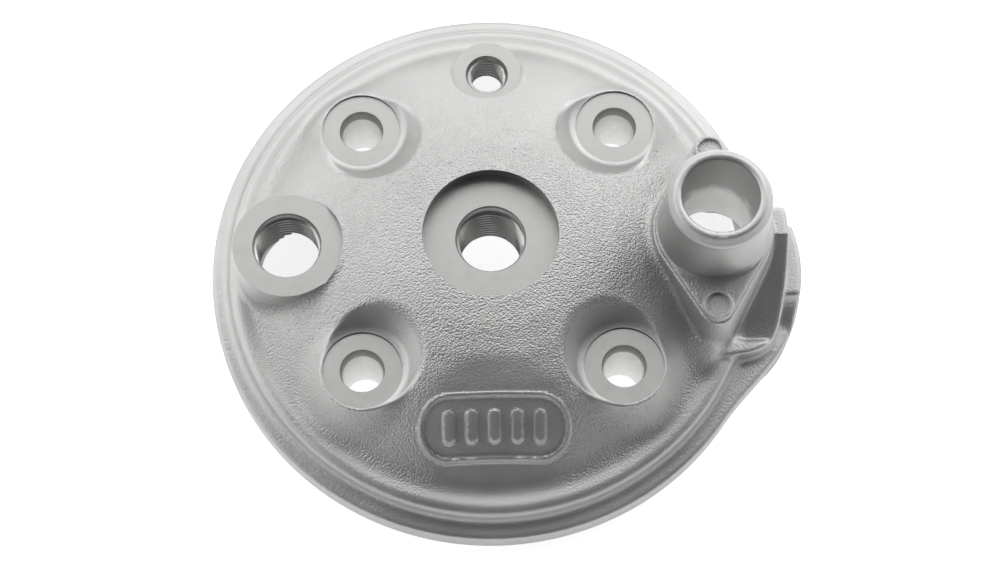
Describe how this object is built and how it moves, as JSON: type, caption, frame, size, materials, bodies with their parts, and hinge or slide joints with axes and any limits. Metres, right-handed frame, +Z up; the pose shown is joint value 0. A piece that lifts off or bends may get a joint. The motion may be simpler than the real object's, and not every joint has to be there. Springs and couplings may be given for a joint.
{
  "type": "cylinder head",
  "caption": "Round domed aluminium cylinder head of a small liquid-cooled two-stroke engine, with a plug recess, stud holes, threaded bosses and an upright coolant neck.",
  "frame": {"origin": "middle of the footprint on the gasket face; the spark plug's axis stands at X = -3.4 mm", "axes": "+Z up out of the engine along the spark plug's axis, +X towards the coolant neck, +Y towards the bleed boss"},
  "size_m": [0.1244, 0.1176, 0.0418],
  "materials": {
    "cast_aluminium": "as-cast, pebbled, with machined faces and bores",
    "seal_rubber": "matt moulded black"
  },
  "bodies": {
    "root": {"head_casting": "cast_aluminium", "chamber_seal": "seal_rubber", "coolant_seal": "seal_rubber", "stud_seal_1": "seal_rubber", "stud_seal_2": "seal_rubber", "stud_seal_3": "seal_rubber", "stud_seal_4": "seal_rubber"}
  },
  "joints": []
}
